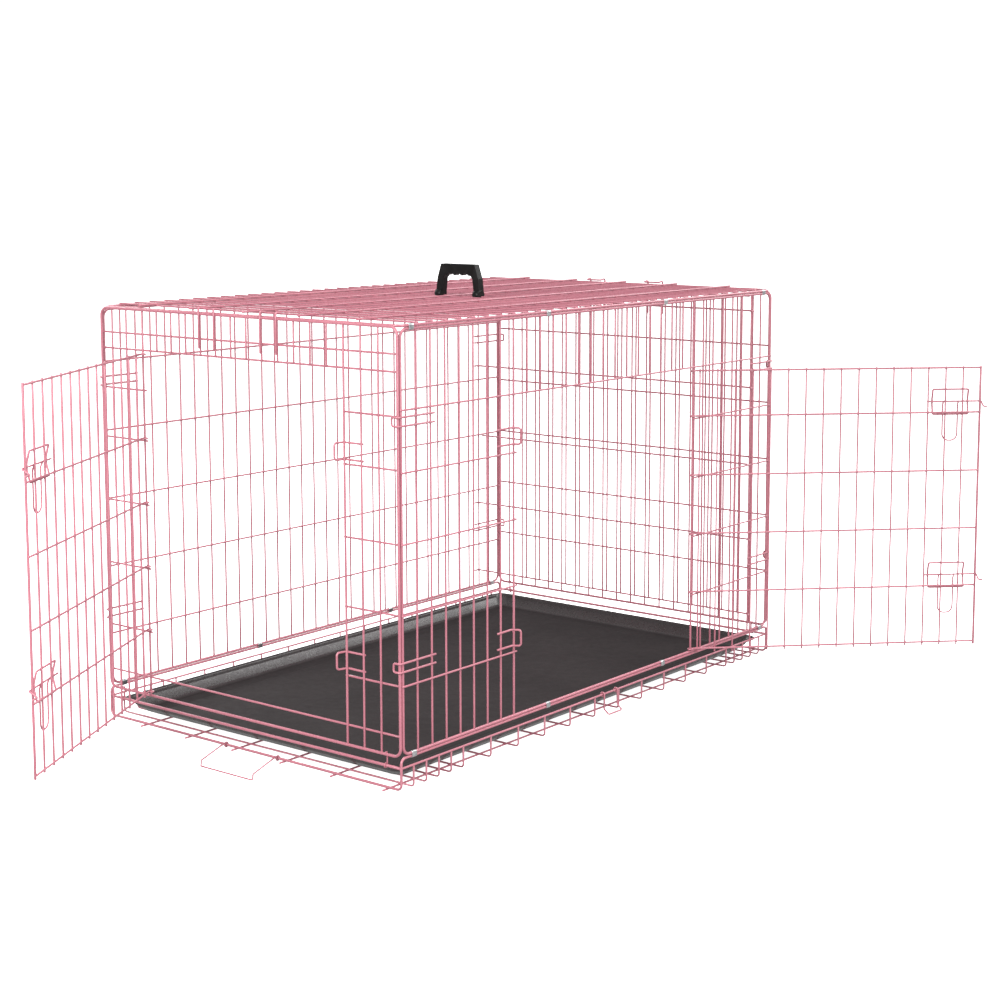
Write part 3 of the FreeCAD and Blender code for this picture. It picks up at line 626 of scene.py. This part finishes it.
def pan_stop():
    """The bail at the foot of the end: two legs with a kink, then a slanted loop lying on the floor."""
    axis_z = JOINT["pan_stop_hinge"]["pos_m"][2]
    top, lie = axis_z + PAN_STOP_EYE, R_STOP + 0.1 * MM
    kink, kink_z = -END - 0.018, top - 0.001
    near, far = -0.686, -0.710
    left, right = -0.055, 0.078
    points = [vec(left, -END, top), vec(left + 0.005, kink, kink_z), vec(-0.031, near, lie),
              vec(-0.006, far, lie), vec(0.125, far, lie), vec(0.101, near, lie),
              vec(right + 0.005, kink, kink_z), vec(right, -END, top)]
    eyes = [(vec(x, -END, axis_z), vec(x, -END, top)) for x in (left, right)]
    bail("pan_stop", eyes, points, (-1, 0, 0), 3 * MM, R_STOP)


def fold_latch():
    """The small bail that hangs on the right rim, its lower loop set off outwards."""
    hang, ends = SIDE + FOLD_LATCH_EYE, (-0.014, 0.030)
    out, elbow, low = hang + 0.011, 0.015, 0.006
    points = [vec(hang, ends[0], LIP), vec(hang, ends[0], elbow), vec(out, ends[0], low),
              vec(out, ends[1], low), vec(hang, ends[1], elbow), vec(hang, ends[1], LIP)]
    eyes = [(vec(SIDE, y, LIP), vec(hang, y, LIP)) for y in ends]
    bail("fold_latch", eyes, points, (0, -1, 0), 3 * MM, R_LEVEL)


pan_stop()
fold_latch()


# ---------------------------------------------------------------- doors
def door_frame(name):
    """Origin on the hinge axis, the way along the door, and its outside."""
    hinge = JOINT[name + "_hinge"]["pos_m"]
    along = vec(*JOINT[name + "_lower_bolt_slide"]["axis"])
    up = vec(0, 0, 1)
    outside = np.cross(along, up)
    if name == "side_door":
        outside = -outside
    return vec(hinge[0], hinge[1], 0), unit(along), outside


def door_level(at, wide, z):
    """A level whose end curls round the hinge wire, with a thicker coat clear of the hinge."""
    start, stop = at(0, DOOR_EYE, z), at(wide, DOOR_EYE, z)
    loop = []
    for k in range(25):
        a = math.radians(290.0) * k / 24
        loop.append(at(-DOOR_EYE * math.sin(a), DOOR_EYE * math.cos(a), z))
    run = wavy(start, stop, 0.12 * MM)
    coated = wavy(at(7 * MM, DOOR_EYE, z), stop, 0.05 * MM)
    return [tube(loop[::-1] + run[1:], R_LEVEL + CLOSE_COAT, 12), tube(coated, R_LEVEL + LEVEL_COAT, 12)]


def latch_bracket(at, wide, level):
    """The points of a latch's closed frame, whose short sides bow out over the bolt."""
    low_bar, mid = level - 4.5 * MM, level + BOLT_RISE
    high_bar = low_bar + 52 * MM
    flat = DOOR_EYE + R_LEVEL + 2 * R_UPRIGHT + R_LEVEL - 0.6 * MM
    bow = BOLT_OFF + R_BOLT + 0.4 * MM + R_LEVEL
    near, far = wide - 0.024, wide - 0.100
    spots = [(near, flat, high_bar), (near, bow, mid + 0.005), (near, bow, mid - 0.005),
             (near, flat, low_bar), (far, flat, low_bar), (far, bow, mid - 0.005),
             (far, bow, mid + 0.005), (far, flat, high_bar)]
    return [at(*spot) for spot in spots]


def slide_bolt(at, wide, mid, tail, outside):
    """A bolt: a rod with a hooked tip, and a pull loop welded under it."""
    tip, catch, drop = wide + 4.3 * MM, -(R_UPRIGHT + 0.5 * MM + R_BOLT), mid - 9.5 * MM
    shank = [at(wide - 0.112, BOLT_OFF, mid), at(tip, BOLT_OFF, mid),
             at(tip, catch, drop), at(tip + tail, catch, drop)]
    hang, down, waist = BOLT_OFF + 3.6 * MM, mid - 0.082, mid - 0.020
    one, two = wide - 0.045, wide - 0.077
    arms = []
    for s in (one, two):
        points = [at(s, BOLT_OFF, mid), at(s, hang, mid - 0.009), at(s, hang, waist)]
        arms.append(rounded_path(points, 6 * MM))
    points = [arms[0][-1], at(one, hang, down), at(two, hang, down), arms[1][-1]]
    pull = arms[0] + rounded_path(points, 14 * MM, steps=12)[1:-1] + arms[1][::-1]
    welds = [bead(arm[0], outside, R_BOLT * 1.25, R_BOLT * 1.02) for arm in arms]
    return [tube(rounded_path(shank, 3 * MM), R_BOLT, 14), tube(pull, R_LEVEL, 12)] + welds


def door(name, tail):
    """A door's levels, latch brackets and bolts; its uprights and edge wire are straight wires."""
    base, along, outside = door_frame(name)

    def at(s, off, z):
        return base + along * s + outside * off + vec(0, 0, z)

    corners = np.concatenate(islands(name + "_edge_wire"))
    wide = float(((corners - base) @ along).mean())
    heights = sorted(float((p[:, 2].min() + p[:, 2].max()) / 2) for p in islands(name + "_levels"))
    LINES[name + "_levels"] = [(at(0, DOOR_EYE, z), at(wide, DOOR_EYE, z), R_LEVEL) for z in heights]
    wires(name + "_levels", [part for z in heights for part in door_level(at, wide, z)])

    brackets, bracket_lines = [], []
    for tag, level in (("lower", heights[1]), ("upper", heights[4])):
        points = latch_bracket(at, wide, level)
        brackets.append(tube(rounded_path(points, 3 * MM, True, 6), R_LEVEL + COAT, 12, True))
        bracket_lines += [(points[3], points[4], R_LEVEL), (points[7], points[0], R_LEVEL)]
        wires("%s_%s_bolt" % (name, tag), slide_bolt(at, wide, level + BOLT_RISE, tail, outside))
    LINES[name + "_latch_brackets"] = bracket_lines
    wires(name + "_latch_brackets", brackets)


door("side_door", 8 * MM)
door("end_door", 20 * MM)

# ---------------------------------------------------------------- weld nuggets
WELDS = {
    "right_side": ("crate", [("right_side_uprights", "right_side_levels"),
                             ("right_side_header_uprights", "right_side_levels"),
                             ("right_side_uprights", "right_side_frame"),
                             ("right_side_header_uprights", "right_side_frame"),
                             ("right_side_levels", "right_side_frame"),
                             ("side_door_keepers", "right_side_uprights")]),
    "left_side": ("crate", [("left_side_uprights", "left_side_levels"),
                            ("left_side_uprights", "left_side_frame"),
                            ("left_side_levels", "left_side_frame")]),
    "front_end": ("crate", [("front_end_uprights", "front_end_levels"),
                            ("front_end_header_uprights", "front_end_levels"),
                            ("front_end_uprights", "front_end_frame"),
                            ("front_end_header_uprights", "front_end_frame"),
                            ("front_end_levels", "front_end_frame"),
                            ("end_door_keepers", "front_end_uprights")]),
    "rear_end": ("crate", [("rear_end_uprights", "rear_end_levels"),
                           ("rear_end_uprights", "rear_end_frame"),
                           ("rear_end_levels", "rear_end_frame")]),
    "top": ("crate", [("top_cross_wires", "top_long_wires"), ("top_cross_wires", "top_frame"),
                      ("top_long_wires", "top_frame")]),
    "floor": ("crate", [("floor_cross_wires", "floor_long_wires"), ("floor_long_wires", "floor_frame"),
                        ("lip_bars", "floor_frame"), ("floor_rim_wires", "floor_frame")]),
    "divider": ("crate", [("divider_uprights", "divider_plain_levels"),
                          ("divider_uprights", "divider_hooked_levels")]),
    "side_door": ("side_door", [("side_door_uprights", "side_door_levels"),
                                ("side_door_edge_wire", "side_door_levels"),
                                ("side_door_uprights", "side_door_latch_brackets")]),
    "end_door": ("end_door", [("end_door_uprights", "end_door_levels"),
                              ("end_door_edge_wire", "end_door_levels"),
                              ("end_door_uprights", "end_door_latch_brackets")]),
}
for name, (body, pairs) in WELDS.items():
    beads = []
    for one, two in pairs:
        beads += crossings(LINES[one], LINES[two])
    build(name + "_welds", beads, PINK, body)


# ---------------------------------------------------------------- pan
def rounded_outline(half_x, y_low, y_high, radius, steps=7):
    out = []
    for cx, cy, start in ((half_x - radius, y_high - radius, 0), (-half_x + radius, y_high - radius, 90),
                          (-half_x + radius, y_low + radius, 180), (half_x - radius, y_low + radius, 270)):
        for k in range(steps + 1):
            a = math.radians(start + 90.0 * k / steps)
            out.append((cx + radius * math.cos(a), cy + radius * math.sin(a)))
    return out


def pan_profile(rim_z, base_z):
    """Insets from the rim's edge, with heights: up from the underside, over the rim, down inside."""
    skin, slope, rim = 2.6 * MM, 24 * MM, 8 * MM
    profile = [
        (rim + slope + 5 * MM, base_z), (rim + slope + 1 * MM, base_z + 0.3 * MM),
        (rim + slope - 1.2 * MM, base_z + 1.6 * MM), (rim + 1.4 * MM, rim_z - skin - 1.6 * MM),
        (rim + 0.2 * MM, rim_z - skin - 0.3 * MM), (rim - 1.4 * MM, rim_z - skin),
        (0.9 * MM, rim_z - skin), (0.25 * MM, rim_z - skin + 0.35 * MM), (0.0, rim_z - skin * 0.5),
        (0.25 * MM, rim_z - 0.45 * MM), (0.9 * MM, rim_z), (rim - 1.0 * MM, rim_z),
        (rim + 0.4 * MM, rim_z - 0.15 * MM), (rim + 1.5 * MM, rim_z - 0.7 * MM),
    ]
    wall_top, wall_end = rim + 2.2 * MM, rim + slope + skin + 7 * MM
    wall_high, wall_low = rim_z - 1.6 * MM, base_z + skin
    steep = math.radians(12)
    for k in range(13):
        a = steep + math.radians(78) * k / 12
        run, fall = math.cos(a) / math.cos(steep), (1 - math.sin(a)) / (1 - math.sin(steep))
        profile.append((wall_end - (wall_end - wall_top) * run, wall_low + (wall_high - wall_low) * fall))
    groove, sunk = wall_end + 22 * MM, wall_low - 0.5 * MM
    return profile + [(groove, wall_low), (groove + 2 * MM, sunk), (groove + 5 * MM, sunk),
                      (groove + 7 * MM, wall_low)]


def pan_shell(half, front, back, rim_z, base_z):
    """The pan's skin: its profile carried round a rounded rectangle, and closed above and below."""
    rings = []
    for inset, z in pan_profile(rim_z, base_z):
        corner_radius = max(26 * MM - inset * 0.25, 12 * MM)
        outline = rounded_outline(half - inset, front + inset, back - inset, corner_radius)
        rings.append([(x, y, z) for x, y in outline])
    count = len(rings[0])
    faces = []
    for i in range(len(rings) - 1):
        for k in range(count):
            m = (k + 1) % count
            faces.append((i * count + k, i * count + m, (i + 1) * count + m, (i + 1) * count + k))
    faces.append(tuple(range(count - 1, -1, -1)))
    faces.append(tuple((len(rings) - 1) * count + k for k in range(count)))
    return np.array([p for ring in rings for p in ring]), faces


def rounded_bar(x, y_one, y_two, wide, z_low, z_high, round_by):
    """A rib with rounded lower edges, as a swept section."""
    section = [(-wide, z_high)]
    for k in range(5):
        a = math.radians(180 + 90 * k / 4)
        section.append((-wide + round_by * (1 + math.cos(a)), z_low + round_by * (1 + math.sin(a))))
    section += [(-px, pz) for px, pz in reversed(section)]
    points = [(x + px, y, pz) for y in (y_one, y_two) for px, pz in section]
    m = len(section)
    sides = [(k, (k + 1) % m, m + (k + 1) % m, m + k) for k in range(m)]
    return np.array(points), sides + [tuple(range(m - 1, -1, -1)), tuple(range(m, 2 * m))]


def moulded_pan():
    low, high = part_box("floor_pan")
    base_z, half_wide, inset = low.z + 3.3 * MM, 3.5 * MM, 0.052
    parts = [pan_shell(high.x, low.y, high.y, high.z, base_z)]
    for x in (-0.210, 0.210):
        ends = (low.y + inset, high.y - inset)
        parts.append(rounded_bar(x, *ends, half_wide, low.z, base_z + 1 * MM, 1.2 * MM))
    build("floor_pan_moulded", parts, PAN, "floor_pan", "floor_pan")


moulded_pan()

# ---------------------------------------------------------------- clips and handle keep their CAD shape
for node, material, width in (("right_bottom_clips", STEEL, 0.25), ("left_bottom_clips", STEEL, 0.25),
                              ("top_clips", STEEL, 0.25), ("carry_handle", GRIP, 1.1)):
    piece = frame["nodes"][node]
    piece.data.materials.clear()
    piece.data.materials.append(material)
    weld = piece.modifiers.new("Join", "WELD")
    weld.merge_threshold = 0.00002
    soften = piece.modifiers.new("Soften", "BEVEL")
    soften.width = width * MM
    soften.segments = 3
    soften.limit_method = "ANGLE"
    soften.angle_limit = math.radians(35)
    soften.harden_normals = True


def clip_barrel(x_one, x_two, wire_y, wire_z):
    """A handle clip's half-round barrel along the wire, flat below, with slightly smaller ends."""
    radius, floor_z, back_y = 8.4 * MM, wire_z - 3.2 * MM, wire_y - 2.4 * MM
    mid_y, mid_z = wire_y - 5 * MM, wire_z + 4.4 * MM
    ring = []
    for degrees in range(95, 276, 10):
        a = math.radians(degrees)
        ring.append((mid_y + radius * math.cos(a), max(mid_z + radius * math.sin(a), floor_z)))
    ring += [(back_y, ring[-1][1]), (back_y, ring[0][1])]
    edge, small = 0.9 * MM, 0.88
    points = []
    for x, scale in ((x_one, small), (x_one + edge, 1.0), (x_two - edge, 1.0), (x_two, small)):
        points += [(x, mid_y + (y - mid_y) * scale, mid_z + (z - mid_z) * scale) for y, z in ring]
    m = len(ring)
    faces = [(i * m + k, (i + 1) * m + k, (i + 1) * m + (k + 1) % m, i * m + (k + 1) % m)
             for i in range(3) for k in range(m)]
    return np.array(points), faces + [tuple(range(m)), tuple(3 * m + k for k in range(m - 1, -1, -1))]


def handle_barrels():
    low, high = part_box("carry_handle")
    wire_y, wire_z, length = (low.y + high.y) / 2, low.z + 3.4 * MM, 15 * MM
    starts = (low.x - 0.2 * MM, high.x + 0.2 * MM - length)
    parts = [clip_barrel(x, x + length, wire_y, wire_z) for x in starts]
    build("handle_barrels", parts, GRIP, BODY_OF["carry_handle"])


handle_barrels()

# ---------------------------------------------------------------- stage
bpy.ops.mesh.primitive_plane_add(size=40, location=(0, 0, 0))
floor = bpy.context.object
floor.name = "studio_floor"
floor_material, floor_tree, floor_shader = new_material("studio_white", (0.93, 0.93, 0.93), 0.85)
floor_cloud = noise(floor_tree, 0.4, 2.0)
floor_tint = ramp(floor_tree, floor_cloud.outputs["Fac"],
                  [(0.3, (0.92, 0.92, 0.92)), (0.7, (0.94, 0.94, 0.94))])
floor_tree.links.new(floor_tint.outputs["Color"], floor_shader.inputs["Base Color"])
floor_shader.inputs["Emission Color"].default_value = (1, 1, 1, 1)
floor_shader.inputs["Emission Strength"].default_value = 0.95
floor.data.materials.append(floor_material)
floor.visible_diffuse = False
floor.visible_glossy = False

world = bpy.data.worlds.new("studio")
bpy.context.scene.world = world
world.use_nodes = True
sky = world.node_tree
direction = add(sky, "ShaderNodeTexCoord")
split = add(sky, "ShaderNodeSeparateXYZ")
sky.links.new(direction.outputs["Generated"], split.inputs["Vector"])
band = to_range(sky, split.outputs["Z"], 0.0, 1.0, 0.14, 0.5)
shade = ramp(sky, band.outputs["Result"], [(0.0, (0.52, 0.52, 0.52)), (1.0, (0.39, 0.39, 0.39))])
rays = add(sky, "ShaderNodeLightPath")
backdrop = add(sky, "ShaderNodeMix", data_type="RGBA")
backdrop.inputs["B"].default_value = (1, 1, 1, 1)
sky.links.new(rays.outputs["Is Camera Ray"], backdrop.inputs["Factor"])
sky.links.new(shade.outputs["Color"], backdrop.inputs["A"])
sky.links.new(backdrop.outputs["Result"], sky.nodes["Background"].inputs["Color"])
sky.nodes["Background"].inputs["Strength"].default_value = 1.05


def aimed(name, kind, place, aim, energy, size):
    light = bpy.data.lights.new(name, kind)
    light.energy = energy
    if kind == "SUN":
        light.angle = math.radians(size)
    else:
        light.size = size
    holder = bpy.data.objects.new(name, light)
    holder.location = place
    holder.rotation_euler = (Vector(aim) - Vector(place)).to_track_quat("-Z", "Y").to_euler()
    bpy.context.scene.collection.objects.link(holder)


aimed("side_sun", "SUN", (4.0, 0.4, 4.4), (0, 0, 0), 2.3, 30)
aimed("top_sun", "SUN", (-0.4, 0.6, 5.0), (0, 0, 0), 0.6, 60)
aimed("back_softbox", "AREA", (0.9, 2.6, 2.3), (-0.3, 0.1, 0.1), 45, 1.6)
aimed("left_softbox", "AREA", (-3.2, 0.9, 1.5), (-0.2, 0, 0.4), 50, 1.6)
aimed("front_softbox", "AREA", (0.1, -3.1, 1.5), (0, -0.4, 0.35), 80, 1.5)
aimed("right_softbox", "AREA", (2.9, -1.9, 0.9), (0.2, -0.3, 0.35), 48, 1.5)

camera_data = bpy.data.cameras.new("camera")
camera = bpy.data.objects.new("camera", camera_data)
camera.location = (2.4666, -2.9462, 1.0532)
camera.rotation_euler = (math.radians(90 - 7.017), 0, math.radians(37.746))
camera_data.sensor_width = 36
camera_data.lens = 68.41
camera_data.shift_x = -0.030
camera_data.shift_y = -0.0949
camera_data.clip_end = 100
bpy.context.scene.collection.objects.link(camera)
bpy.context.scene.camera = camera
bpy.context.scene.view_settings.view_transform = "Standard"
